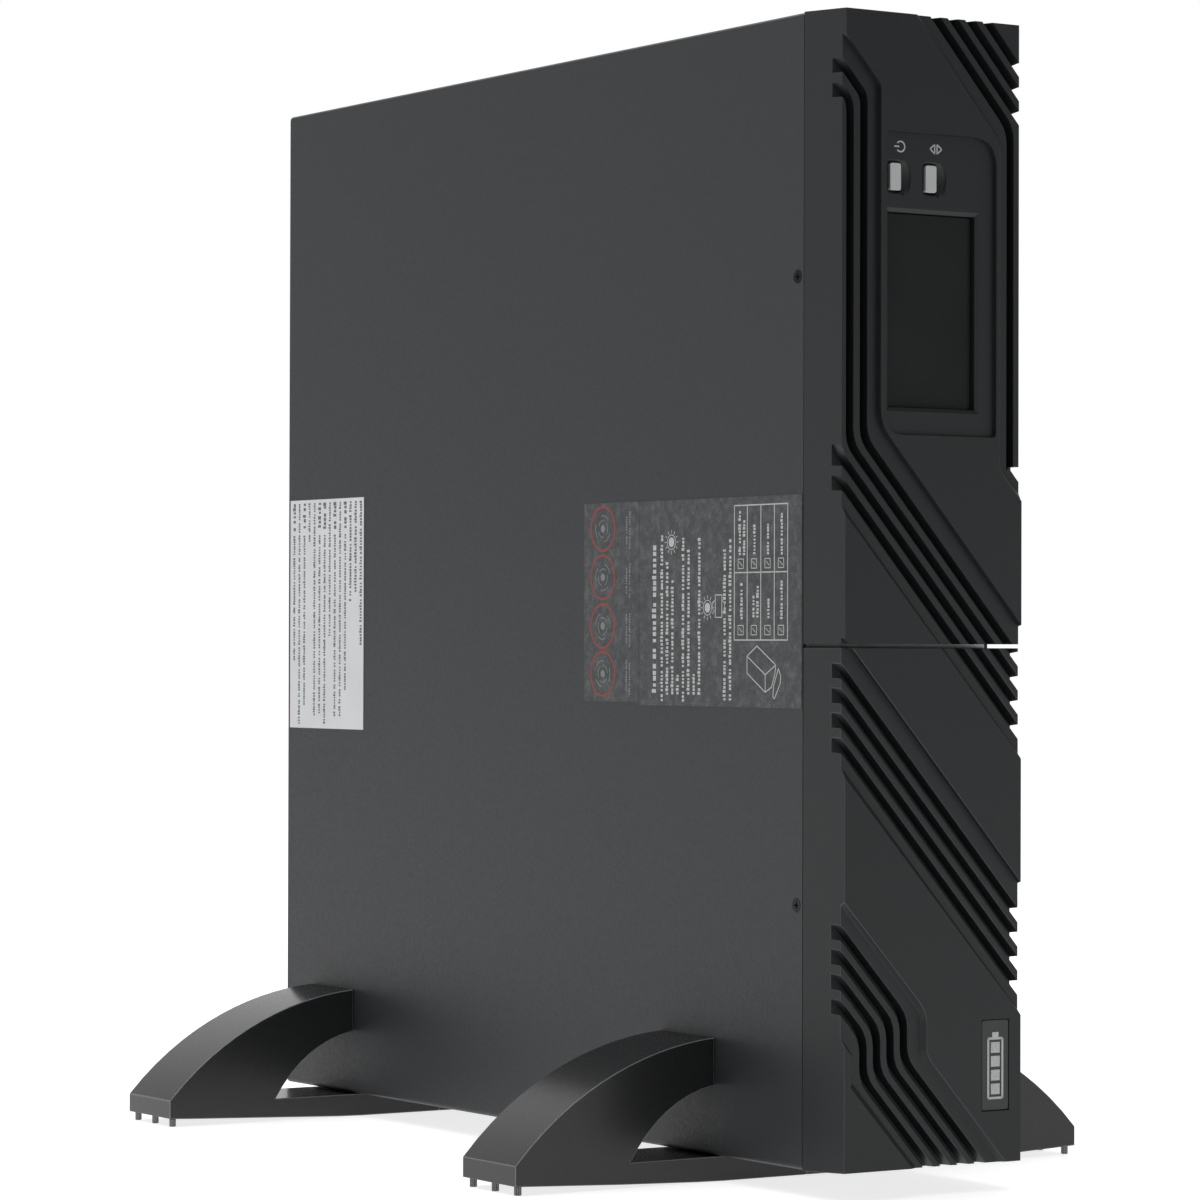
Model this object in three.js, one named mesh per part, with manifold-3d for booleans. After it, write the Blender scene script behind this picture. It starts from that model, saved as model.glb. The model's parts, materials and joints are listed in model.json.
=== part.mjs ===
// Rack/tower uninterruptible power supply, standing as a tower on two pairs of arched feet.
// Millimetres, +Z up. The front faces -Y, the large cover panel faces -X.
// Everything is built in cabinet coordinates: x = 0 is the middle of the cabinet, y = 0 the plane where the
// front mouldings meet the sheet-metal case, z = 0 the underside of the case. One outer group then moves the
// cabinet so that the origin lies on the floor under the middle of the whole object.
import * as THREE from "three";
import { mergeVertices } from "three/addons/utils/BufferGeometryUtils.js";
import Module from "manifold-3d";

const wasm = await Module();
wasm.setup();

// ---------------------------------------------------------------- driving dimensions
const CASE_HEIGHT = 438; // the width of a 19-inch rack unit, stood on end
const CASE_WIDTH = 88; // two rack units
const CASE_DEPTH = 401.6; // sheet-metal case, from the front mouldings to the rear panel
const SHEET = 1.2; // thickness of the case steel
const FIT = 0.3; // clearance between neighbouring parts
const HALF = CASE_WIDTH / 2;
const FLOOR_GAP = 10; // the feet lift the case this far off the floor

const BASE_LEVEL = -21.5; // front of the grooved bands
const PROUD_LEVEL = -23.75; // front of the raised plateaus between the bands
const GROOVE_FLOOR = -15.9; // bottom of the grooves
const SHELL_BACK = -14; // inner face of the front moulding
const SIDE_TAPER = 0.095; // each side of the front leans in by this much per millimetre
const END_TAPER = 0.044; // top and bottom lean in by this much per millimetre
const SEAM_LOW = 197.4; // top of the removable lower moulding
const SEAM_HIGH = 198.9; // bottom of the fixed upper moulding

const PANEL_LEVEL = -22.05; // floor of the control panel recess
const WINDOW_FRONT = -18.75; // front of the display window
const BUTTON_FRONT = -22.65; // front of the push buttons
const WELL_FLOOR = -19.05; // floor of the wells that the buttons sit in
const BUTTON_X = [-17.85, -1.05]; // middles of the two push buttons
const BUTTON_Z = 375.15;
const BUTTON_HALF = [2.52, 5.15]; // half the width and height of a button's face

const REAR = CASE_DEPTH; // outer face of the rear panel
const GUARD_BACK = REAR + 2.8; // rearmost point of the fan guard
const FAN_Z = 388; // centre of the fan
const FAN_SIZE = 80;
const FAN_DEPTH = 25;

const BAY_TOP = 195; // top of the battery bay opening
const TRAY_LENGTH = 314;
const TRAY_HALF = 37.5;

const STAND_REACH = 135; // outer end of a foot, from the middle of the case
const STAND_LENGTH = 38.5;
const STAND_FRONTS = [58.5, 341]; // front face of each pair of feet

// ---------------------------------------------------------------- materials
const finish = (color, roughness, metalness = 0) => ({ color, roughness, metalness });
const PAINTED_STEEL = finish(0x3c3e40, 0.55, 0.2);
const BLACK_PLASTIC = finish(0x2b2d2e, 0.6);
const FOOT_PLASTIC = finish(0x4a4b4c, 0.5);
const DARK_WINDOW = finish(0x1d1e20, 0.12);
const LIGHT_PLASTIC = finish(0x9d9e9f, 0.45);
const ZINC = finish(0x9b9da0, 0.4, 0.8);
const BLACK_STEEL = finish(0x202122, 0.45, 0.6);
const CIRCUIT_GREEN = finish(0x1f4a33, 0.6);
const COPPER = finish(0xa4582c, 0.35, 0.8);
const LAMINATION = finish(0x5a5c60, 0.5, 0.7);
const ALUMINIUM = finish(0xb4b6b8, 0.35, 0.9);
const PAPER_LABEL = finish(0xc6c8c9, 0.7);
const FOIL_LABEL = finish(0x57595b, 0.65);
const SOCKET_BLACK = finish(0x17181a, 0.55);
const BATTERY_GREY = finish(0x3a3d42, 0.6);
const CABLE_RED = finish(0x8e2420, 0.5);
const SLEEVE_BLUE = finish(0x24405f, 0.4);

// ---------------------------------------------------------------- geometry helpers
const meshes = [];

function toSolid(geometry) {
  const bare = new THREE.BufferGeometry();
  bare.setAttribute("position", geometry.getAttribute("position"));
  if (geometry.index) bare.setIndex(geometry.index);
  const merged = mergeVertices(bare, 1e-4);
  const vertProperties = merged.attributes.position.array;
  const triVerts = new Uint32Array(merged.index.array);
  return new wasm.Manifold(new wasm.Mesh({ numProp: 3, vertProperties, triVerts }));
}

function toGeometry(solid) {
  const mesh = solid.getMesh();
  const geometry = new THREE.BufferGeometry();
  geometry.setAttribute("position", new THREE.BufferAttribute(mesh.vertProperties, 3));
  geometry.setIndex(new THREE.BufferAttribute(mesh.triVerts, 1));
  geometry.computeVertexNormals();
  return geometry;
}

function cut(base, ...tools) {
  return toGeometry(tools.reduce((solid, tool) => solid.subtract(toSolid(tool)), toSolid(base)));
}

function join(base, ...parts) {
  return toGeometry(parts.reduce((solid, part) => solid.add(toSolid(part)), toSolid(base)));
}

function piece(name, look, geometry, at = [0, 0, 0]) {
  const mesh = new THREE.Mesh(geometry, new THREE.MeshStandardMaterial(look));
  mesh.name = name;
  mesh.position.set(...at);
  meshes.push(mesh);
  return mesh;
}

function box([x0, x1], [y0, y1], [z0, z1]) {
  const geometry = new THREE.BoxGeometry(x1 - x0, y1 - y0, z1 - z0);
  return geometry.translate((x0 + x1) / 2, (y0 + y1) / 2, (z0 + z1) / 2);
}

const shapeOf = (points) => new THREE.Shape(points.map(([u, v]) => new THREE.Vector2(u, v)));
const flat = (depth) => ({ depth, bevelEnabled: false });

// An (x, z) outline extruded from y0 to y1.
function slabY(points, [y0, y1]) {
  const geometry = new THREE.ExtrudeGeometry(shapeOf(points), flat(y1 - y0));
  return geometry.rotateX(Math.PI / 2).translate(0, y1, 0);
}

// A (y, z) outline extruded from x0 to x1.
function slabX(points, [x0, x1]) {
  const geometry = new THREE.ExtrudeGeometry(shapeOf(points), flat(x1 - x0));
  const turn = new THREE.Matrix4().set(0, 0, 1, 0, 1, 0, 0, 0, 0, 1, 0, 0, 0, 0, 0, 1);
  return geometry.applyMatrix4(turn).translate(x0, 0, 0);
}

// An (x, y) outline extruded from z0 to z1.
function slabZ(points, [z0, z1]) {
  return new THREE.ExtrudeGeometry(shapeOf(points), flat(z1 - z0)).translate(0, 0, z0);
}

// A cutter for a shallow recess: the (x, z) outline is the recess floor, its wall opens out by `spread`.
function recessCutter(points, floor, top, spread) {
  const wall = floor - top;
  const settings = { depth: 20, bevelThickness: wall, bevelSize: spread, bevelSegments: 1 };
  const geometry = new THREE.ExtrudeGeometry(shapeOf(points), settings);
  return geometry.rotateX(Math.PI / 2).translate(0, floor - wall, 0);
}

// A cylinder along an axis, from one end to the other.
function rod(radius, [from, to], axis = "z", sides = 16) {
  const geometry = new THREE.CylinderGeometry(radius, radius, to - from, sides);
  geometry.translate(0, (from + to) / 2, 0);
  if (axis === "z") geometry.rotateX(Math.PI / 2);
  if (axis === "x") geometry.rotateZ(-Math.PI / 2);
  return geometry;
}

// A profile of (radius, y) points turned about the y axis.
function turned(profile, sides) {
  return new THREE.LatheGeometry(profile.map(([r, y]) => new THREE.Vector2(r, y)), sides);
}

const moved = (geometry, x, y, z) => geometry.translate(x, y, z);
const rectangle = ([u0, u1], [v0, v1]) => [[u0, v0], [u1, v0], [u1, v1], [u0, v1]];

// Rounds the corners of a closed or open outline. A corner is [u, v] or [u, v, reach], and reach is how far
// along both sides the curve starts.
function rounded(corners, closed = true, steps = 3) {
  const out = [];
  corners.forEach((corner, i) => {
    const [u, v, reach = 0] = corner;
    const inner = closed || (i > 0 && i < corners.length - 1);
    if (!reach || !inner) {
      out.push([u, v]);
      return;
    }
    const here = new THREE.Vector2(u, v);
    const [before, after] = [corners.at(i - 1), corners[(i + 1) % corners.length]].map(([a, b]) =>
      new THREE.Vector2(a, b).sub(here),
    );
    const start = here.clone().add(before.clone().setLength(Math.min(reach, before.length() / 2)));
    const end = here.clone().add(after.clone().setLength(Math.min(reach, after.length() / 2)));
    const curve = new THREE.QuadraticBezierCurve(start, here, end);
    curve.getPoints(steps).forEach((p) => out.push([p.x, p.y]));
  });
  return out;
}

// ---------------------------------------------------------------- front face pattern
// Lines on the front face are a*x + b*z = c. A diagonal's c is the height where it crosses x = 0.
const LEAN = 1.12; // drop of a diagonal per millimetre to the right
const PITCH = 9.3; // height between two neighbouring diagonal grooves
const GROOVE_HALF = 2.75; // half the height of a diagonal groove
const SLOT_HALF = 1.75; // half the width of an upright groove
const NOTCH_RISE = 47.6; // height from a diagonal's x = 0 crossing to its notch in the left side
const FAR = 60; // a distance beyond every edge of the front
const BEND = 5; // how far from a corner a groove starts to turn
const TIGHT_BEND = 2.8; // the same for the turns nearest the left edge
const STEP_SPREAD = 0.2; // draft of the upright step from a band up to the plateau on its right
const SOFT_SPREAD = 1.5; // width of the same step in the lower band, where it is a slope
const RAMP_SPREAD = 2.6; // width of the slope from a band up to the plateau on its left

const level = (c) => ({ a: 0, b: 1, c, half: GROOVE_HALF, bend: TIGHT_BEND });
const upright = (c, half = SLOT_HALF) => ({ a: 1, b: 0, c, half, bend: BEND });
const diagonal = (c, bend = BEND) => ({ a: LEAN, b: 1, c, half: GROOVE_HALF, bend });
const onDiagonal = (c, x, reach = 0) => [x, c - LEAN * x, reach];

function crossing(first, second, side) {
  const c1 = first.c + side * first.half;
  const c2 = second.c + side * second.half;
  const det = first.a * second.b - second.a * first.b;
  return [(c1 * second.b - c2 * first.b) / det, (first.a * c2 - second.a * c1) / det, first.bend];
}

// The outline of a groove that follows a chain of lines; the first and last lines only close its ends.
function grooveOutline(lines) {
  const edge = (side) => {
    const corners = lines.slice(1).map((line, i) => crossing(lines[i], line, side));
    return rounded(corners, false);
  };
  return [...edge(1), ...edge(-1).reverse()];
}

const groove = (lines) => slabY(grooveOutline(lines), [-40, GROOVE_FLOOR]);
const END = { left: upright(-FAR, 0), right: upright(FAR, 0) };

// The strip of a band's land next to its lower edge, where the slope up to the plateau starts.
const rampStrip = (rise, from = -FAR) => [
  onDiagonal(rise, from), onDiagonal(rise, FAR), onDiagonal(rise + 3, FAR), onDiagonal(rise + 3, from),
];

function upperBand() {
  const first = 240.2;
  const foot = 204;
  const chains = [
    [level(416.7), diagonal(369.1, TIGHT_BEND), upright(-31.9), diagonal(first)],
    [level(407.3), diagonal(359.7), upright(-38.3), diagonal(first - PITCH)],
    ...[2, 3].map((i) => [level(first - i * PITCH + NOTCH_RISE), diagonal(first - i * PITCH)]),
  ];
  const land = rounded([
    onDiagonal(380.4, -FAR), onDiagonal(380.4, -25.6, 1.5), onDiagonal(252.8, -25.6, 6),
    onDiagonal(252.8, FAR), onDiagonal(foot, FAR), onDiagonal(foot, -FAR),
  ]);
  // The wall above the third notch is cut back to a facet.
  const facet = slabY([[-FAR, 268], [-FAR, 274.4], [-42, 273.6], [-39.6, 268]], [-40, GROOVE_FLOOR]);
  return { chains, land, ramps: [rampStrip(foot)], step: STEP_SPREAD, extra: [facet] };
}

function middleBand() {
  const first = 142;
  const foot = 105.9;
  const rises = [0, 1, 2, 3].map((i) => first - i * PITCH);
  const chains = rises.map((rise) => [level(rise + NOTCH_RISE), diagonal(rise)]);
  const land = [
    onDiagonal(154.2, -FAR), onDiagonal(154.2, FAR), onDiagonal(foot, FAR), onDiagonal(foot, -FAR),
  ];
  return { chains, land, ramps: [rampStrip(foot)], step: STEP_SPREAD, extra: [] };
}

function lowerBand() {
  const foot = -6.5;
  const chains = [0, 1, 2, 3].map((i) => {
    const before = 44.1 - i * PITCH;
    const after = 27.8 - i * 9.2;
    return [level(before + NOTCH_RISE), diagonal(before), upright(-12.5 - i * 6.3), diagonal(after)];
  });
  const land = rounded([
    onDiagonal(54, -FAR), onDiagonal(54, -4.7, 4), onDiagonal(37.5, -4.7, 4), onDiagonal(37.5, FAR),
    onDiagonal(foot, FAR), onDiagonal(foot, -36.5, 3), onDiagonal(4.5, -36.5, 3), onDiagonal(4.5, -FAR),
  ]);
  return { chains, land, ramps: [rampStrip(foot, -36.5)], step: SOFT_SPREAD, extra: [] };
}

// The group in the top right corner comes in from the top edge; its innermost groove turns down beside the
// control panel and leaves through the right side.
function cornerBand() {
  const top = level(470);
  const grooves = [1, 2, 3].map((i) => groove([top, diagonal(438.9 + i * PITCH), END.right]));
  grooves.push(groove([top, diagonal(438.9), upright(37.65, 1.7), level(268)]));
  const exit = [[35.95, 275], [35.95, 268], [FAR, 240.8], [FAR, 267], [39.35, 267], [39.35, 275]];
  grooves.push(slabY(exit, [-40, GROOVE_FLOOR]));
  const land = rounded([
    onDiagonal(429.6, -20), onDiagonal(429.6, 33.4, 4), [33.4, 266.5, 3],
    onDiagonal(303.9, FAR), [FAR, 452],
  ]);
  return { grooves, land };
}

function facePattern() {
  const bands = [upperBand(), middleBand(), lowerBand()];
  const corner = cornerBand();
  const grooves = bands.flatMap((band) =>
    band.chains.map((chain) => groove([END.left, ...chain, END.right])),
  );
  const recess = (outline, spread) => recessCutter(outline, BASE_LEVEL, PROUD_LEVEL, spread);
  const lands = bands.map(({ land, step }) => recess(land, step));
  const ramps = bands.flatMap((band) => band.ramps.map((strip) => recess(strip, RAMP_SPREAD)));
  const extras = bands.flatMap(({ extra }) => extra);
  return [...grooves, ...corner.grooves, ...extras, ...lands, ...ramps, recess(corner.land, RAMP_SPREAD)];
}

// ---------------------------------------------------------------- front mouldings
// A block whose front is smaller than its back by the two tapers.
function taperedBlock(z0, z1, inset = 0, front = PROUD_LEVEL, back = 0) {
  const geometry = box([-1, 1], [front, back], [-1, 1]);
  const place = geometry.getAttribute("position");
  for (let i = 0; i < place.count; i++) {
    const y = place.getY(i);
    const half = HALF - inset + y * SIDE_TAPER;
    const low = z0 === 0 ? inset - y * END_TAPER : z0 + inset;
    const high = z1 === CASE_HEIGHT ? z1 - inset + y * END_TAPER : z1 - inset;
    place.setXYZ(i, Math.sign(place.getX(i)) * half, y, place.getZ(i) > 0 ? high : low);
  }
  return geometry;
}

const WALL = 3; // side walls of the mouldings
const PANEL_OUTLINE = rounded(
  [[-22.65, 278, 7], [29.15, 278, 1.5], [29.15, 392, 11], [-22.65, 392, 1.5]], true, 5,
);
const WINDOW_X = [-20.35, 20.9];
const WINDOW_Z = [288.2, 362];
const FRAME_LEVEL = -20.95; // where the sloped frame round the window ends
const FRAME_SPREAD = 1.5;
const WINDOW_THICK = 1.5;
const WELL_GAP = 0.8; // clearance round a button's face
const DISH = { x: 4.1, reach: [3.5, 2.1, 6.9] }; // hollow to the right of a button: its middle and half sizes

// The well that a button sits in, the chamfer round its mouth, the finger dish beside it and the stem's hole.
function buttonWell(x) {
  const [halfX, halfZ] = BUTTON_HALF.map((half) => half + WELL_GAP);
  const corners = rectangle([x - halfX, x + halfX], [BUTTON_Z - halfZ, BUTTON_Z + halfZ]);
  const outline = rounded(corners.map(([u, v]) => [u, v, 1.6]));
  const well = slabY(outline, [-FAR, WELL_FLOOR]);
  const mouth = recessCutter(outline, PANEL_LEVEL + 0.35, PANEL_LEVEL, 0.6);
  const dish = new THREE.SphereGeometry(1, 20, 14).scale(...DISH.reach);
  dish.translate(x + DISH.x, PANEL_LEVEL - 0.2, BUTTON_Z - 0.3);
  const stemHole = box([x - 1.9, x + 1.9], [-FAR, 0], [BUTTON_Z - 3.4, BUTTON_Z + 3.4]);
  return [well, mouth, dish, stemHole];
}

function upperBezel() {
  const frame = recessCutter(rectangle(WINDOW_X, WINDOW_Z), FRAME_LEVEL, PANEL_LEVEL, FRAME_SPREAD);
  const body = cut(
    taperedBlock(SEAM_HIGH, CASE_HEIGHT),
    taperedBlock(SEAM_HIGH, CASE_HEIGHT, WALL, SHELL_BACK, 5),
    recessCutter(PANEL_OUTLINE, PANEL_LEVEL, PROUD_LEVEL, STEP_SPREAD),
    frame,
    box(WINDOW_X, [-FAR, WINDOW_FRONT + WINDOW_THICK + FIT], WINDOW_Z),
    box([-17.55, 17.85], [-FAR, 0], [291, 359.1]),
    ...BUTTON_X.flatMap(buttonWell),
    ...facePattern(),
  );
  const ribs = [240, 412].map((z) => box([-39, 39], [SHELL_BACK - 1, -6], [z, z + 2]));
  piece("upper_bezel", BLACK_PLASTIC, join(body, ...ribs));
}

const BADGE_X = [23, 36.2];
const BADGE_Z = [20.9, 55.7];
const BADGE_POCKET = -22.95; // floor of the pocket that the badge plate lies in

function lowerBezel() {
  const pocket = box(BADGE_X, [-FAR, BADGE_POCKET], BADGE_Z);
  const body = cut(
    taperedBlock(0, SEAM_LOW),
    taperedBlock(0, SEAM_LOW, WALL, SHELL_BACK, 5),
    pocket,
    ...facePattern(),
  );
  const posts = [-1, 1].flatMap((side) =>
    [32, 166].map((z) => moved(rod(2.2, [SHELL_BACK - 1, -1.4], "y", 10), side * 33, 0, z)),
  );
  piece("lower_bezel", BLACK_PLASTIC, join(body, ...posts));
  const plate = rounded(
    rectangle([BADGE_X[0] + FIT, BADGE_X[1] - FIT], [BADGE_Z[0] + FIT, BADGE_Z[1] - FIT]).map(
      ([x, z]) => [x, z, 1],
    ),
  );
  piece("badge_plate", PAINTED_STEEL, slabY(plate, [BADGE_POCKET - 0.5, BADGE_POCKET]));
}

// ---------------------------------------------------------------- control panel
function controlPanel() {
  const window = box(
    [WINDOW_X[0] + FIT, WINDOW_X[1] - FIT],
    [WINDOW_FRONT, WINDOW_FRONT + WINDOW_THICK],
    [WINDOW_Z[0] + FIT, WINDOW_Z[1] - FIT],
  );
  piece("display_window", DARK_WINDOW, window);

  const glass = box([-18.3, 19.7], [-13.7, -11.2], [287, 362]);
  const frame = box([-20.8, 22.2], [-11.2, -7.7], [283, 366]);
  piece("lcd_module", SOCKET_BLACK, join(glass, frame));

  const board = box([-37, 37], [-6.2, -4.6], [272, 402]);
  const header = box([-14, 14], [-7.4, -6.2], [286, 291]);
  const switches = BUTTON_X.map((x) =>
    box([x - 3, x + 3], [-11.2, -6], [BUTTON_Z - 3, BUTTON_Z + 3]),
  );
  piece("control_board", CIRCUIT_GREEN, join(board, header, ...switches));

  const names = ["power_button", "select_button"];
  BUTTON_X.forEach((x, i) => {
    const [halfX, halfZ] = BUTTON_HALF;
    const face = rectangle([-halfX, halfX], [-halfZ, halfZ]).map(([u, v]) => [u, v, 1]);
    const cap = slabY(rounded(face), [BUTTON_FRONT, BUTTON_FRONT + 2.3]);
    const stem = box([-1.5, 1.5], [BUTTON_FRONT + 2.2, -13.4], [-3, 3]);
    const flange = box([-3, 3], [-13.5, -12.4], [-4.4, 4.4]);
    piece(names[i], LIGHT_PLASTIC, join(cap, stem, flange), [x, 0, BUTTON_Z]);
  });
}

// ---------------------------------------------------------------- sheet-metal case
const COVER_SCREW_Y = 4.2;
const COVER_SCREW_Z = [100, 338];

// A hole through the side sheets for a countersunk screw, side = -1 for the left, 1 for the right.
function screwHole(side, z, clearance = 0) {
  const shank = rod(1.6 + clearance, side < 0 ? [-50, -35] : [35, 50], "x", 12);
  const sink = new THREE.CylinderGeometry(2.9 + clearance, 1.6 + clearance, 1.4, 16);
  sink.rotateZ(side < 0 ? Math.PI / 2 : -Math.PI / 2).translate(side * (HALF - 0.65), 0, 0);
  const mouth = rod(2.9 + clearance, side < 0 ? [-50, -HALF - 0.02] : [HALF + 0.02, 50], "x", 16);
  return [shank, sink, mouth].map((tool) => moved(tool, 0, COVER_SCREW_Y, z));
}

function coverScrew(side) {
  const profile = [[0, 0], [2.7, 0], [2.7, 0.15], [1.45, 1.35], [1.45, 6.5], [0, 6.5]];
  const body = turned(profile, 16);
  body.rotateZ(side < 0 ? -Math.PI / 2 : Math.PI / 2).translate(side * HALF, 0, 0);
  const cross = [[0.3, 1.35], [1.35, 0.3]].map(([dy, dz]) =>
    box(side < 0 ? [-HALF - 1, -HALF + 1] : [HALF - 1, HALF + 1], [-dy, dy], [-dz, dz]),
  );
  return cut(body, ...cross);
}

function topCover() {
  const r = 2.2;
  const right = HALF - SHEET - FIT;
  const outline = rounded([
    [right, 0], [right, SHEET], [-HALF + SHEET, SHEET, 1], [-HALF + SHEET, CASE_HEIGHT - SHEET, 1],
    [right, CASE_HEIGHT - SHEET], [right, CASE_HEIGHT], [-HALF, CASE_HEIGHT, r], [-HALF, 0, r],
  ].reverse());
  const body = slabY(outline, [FIT, REAR]);
  const holes = COVER_SCREW_Z.flatMap((z) => screwHole(-1, z));
  piece("top_cover", PAINTED_STEEL, cut(body, ...holes));
}

function chassisTray() {
  const panel = box([HALF - SHEET, HALF], [FIT, REAR], [0, CASE_HEIGHT]);
  const lip = (z0) => box([30, HALF - SHEET + 0.1], [12, 396], [z0, z0 + 1]);
  const lips = [lip(SHEET + FIT), lip(CASE_HEIGHT - SHEET - FIT - 1)];
  const vents = [];
  for (let row = 0; row < 2; row++)
    for (let i = 0; i < 11; i++) {
      const z = 250 + row * 70;
      vents.push(box([40, 50], [70 + i * 9, 73 + i * 9], [z, z + 50]));
    }
  const holes = COVER_SCREW_Z.flatMap((z) => screwHole(1, z));
  piece("chassis_tray", PAINTED_STEEL, cut(join(panel, ...lips), ...vents, ...holes));
}

function frontWall() {
  const side = HALF - SHEET - FIT;
  const plate = box([-side, side], [FIT, FIT + SHEET], [SHEET + FIT, CASE_HEIGHT - SHEET - FIT]);
  const flanges = [-side, side - 1].map((x) => box([x, x + 1], [FIT, 9], [12, 426]));
  const bay = box([-38.5, 38.5], [-5, 5], [-5, BAY_TOP]);
  const cable = box([-20, 20], [-5, 5], [225, 250]);
  const holes = [-1, 1].flatMap((s) => COVER_SCREW_Z.flatMap((z) => screwHole(s, z)));
  piece("front_wall", ZINC, cut(join(plate, ...flanges), bay, cable, ...holes));
}

const SIDES = [-1, 1];

function coverScrews() {
  SIDES.forEach((side, i) =>
    COVER_SCREW_Z.forEach((z, j) =>
      piece(`cover_screw_${i * 2 + j + 1}`, BLACK_STEEL, coverScrew(side), [0, COVER_SCREW_Y, z]),
    ),
  );
}

function bayDivider() {
  const plate = box([-41.5, 41.5], [10, 396], [BAY_TOP + 1.5, BAY_TOP + 2.5]);
  const flange = box([-41.5, 41.5], [395, 396], [BAY_TOP + 1.5, BAY_TOP + 11]);
  const cableHole = box([-40, -20], [330, 350], [BAY_TOP, BAY_TOP + 5]);
  piece("bay_divider", ZINC, cut(join(plate, flange), cableHole));
}

function labels() {
  const sheet = (y, z, skin) => box([-HALF - skin - 0.02, -HALF - 0.02], y, z);
  piece("rating_label", PAPER_LABEL, sheet([333.3, 399.8], [160.7, 263.3], 0.2));
  piece("side_label", FOIL_LABEL, sheet([0.8, 112.4], [174.4, 255.5], 0.2));
  piece("side_label_strip", FOIL_LABEL, sheet([112.6, 153], [175.6, 255.6], 0.2));
}

// ---------------------------------------------------------------- rear panel and its fittings
const INLET = { x: -19, z: 44 };
const OUTLET_X = [-19, 19];
const OUTLET_Z = [92, 128, 164];
const BREAKER = { x: 20, z: 252 };
const GROUND = { x: 20, z: 40 };
const USB = { x: 20, z: 322 };
const NETWORK_Z = [276, 298];
const SLOT_X = [-38, -4];
const SLOT_Z = [230, 334];
const FAN_SCREW = 35.75; // half the spacing of the fan's fixing holes

function rearPanel() {
  const side = HALF - SHEET - FIT;
  const plate = box([-side, side], [REAR - SHEET, REAR], [SHEET + FIT, CASE_HEIGHT - SHEET - FIT]);
  const through = [REAR - 10, REAR + 10];
  const openings = [
    moved(rod(37, through, "y", 32), 0, 0, FAN_Z),
    box([INLET.x - 11, INLET.x + 11], through, [INLET.z - 15, INLET.z + 15]),
    moved(rod(6.5, through, "y", 20), BREAKER.x, 0, BREAKER.z),
    moved(rod(3.2, through, "y", 12), GROUND.x, 0, GROUND.z),
    box([USB.x - 6.4, USB.x + 6.4], through, [USB.z - 6, USB.z + 6]),
    ...NETWORK_Z.map((z) => box([20 - 8.4, 20 + 8.4], through, [z - 7.4, z + 7.4])),
    box([SLOT_X[0] + 6, SLOT_X[1] - 6], through, [SLOT_Z[0] + 10, SLOT_Z[1] - 10]),
    ...OUTLET_X.flatMap((x) =>
      OUTLET_Z.map((z) => box([x - 13.8, x + 13.8], through, [z - 10.8, z + 10.8])),
    ),
  ];
  piece("rear_panel", PAINTED_STEEL, cut(plate, ...openings));
}

function outlet() {
  const body = box([-13.5, 13.5], [REAR - 27, REAR + 0.4], [-10.5, 10.5]);
  const flangeOutline = rounded(
    rectangle([-15.5, 15.5], [-12.5, 12.5]).map(([x, z]) => [x, z, 2]), true, 2,
  );
  const flange = slabY(flangeOutline, [REAR + 0.02, REAR + 1.8]);
  // The moulded face is cut by a shallow trough around the plug area and three contact slots.
  const trough = cut(
    box([-12, 12], [REAR - 1.2, REAR + 5], [-8.2, 8.2]),
    box([-10, 10], [REAR - 5, REAR + 6], [-6.2, 6.2]),
  );
  const slots = [[-6.5, -2.2], [6.5, -2.2], [0, 2.6]].map(([x, z]) =>
    box([x - 1.2, x + 1.2], [REAR - 16, REAR + 5], [z - 2.2, z + 2.2]),
  );
  return cut(join(body, flange), trough, ...slots);
}

function acInlet() {
  const body = box([-10.7, 10.7], [REAR - 26, REAR + 0.4], [-14.7, 14.7]);
  const flangeOutline = rounded(
    [[-12, -25, 4], [12, -25, 4], [13.5, 0, 3], [12, 25, 4], [-12, 25, 4], [-13.5, 0, 3]], true, 3,
  );
  const flange = slabY(flangeOutline, [REAR + 0.02, REAR + 2.4]);
  const cavity = slabY(
    [[-8.2, -12], [4.6, -12], [8.2, -8], [8.2, 8], [4.6, 12], [-8.2, 12]], [REAR - 16, REAR + 5],
  );
  const pins = [[-2.4, -7], [-2.4, 7], [3.4, 0]].map(([x, z]) =>
    box([x - 2, x + 2], [REAR - 17, REAR - 1], [z - 1, z + 1]),
  );
  const screwHoles = [-20, 20].map((z) => moved(rod(1.7, [REAR - 5, REAR + 5], "y", 12), 0, 0, z));
  return join(cut(join(body, flange), cavity, ...screwHoles), ...pins);
}

// A socket shell with a rectangular mouth, and an optional tongue inside.
function portShell([x, z], [mouthX, mouthZ], depth, tongue) {
  const shell = box([-x / 2, x / 2], [REAR - depth, REAR + 0.8], [-z / 2, z / 2]);
  const mouth = box([-mouthX / 2, mouthX / 2], [REAR - depth + 2, REAR + 5], [-mouthZ / 2, mouthZ / 2]);
  const hollow = cut(shell, mouth);
  return tongue ? join(hollow, box(...tongue)) : hollow;
}

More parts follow.
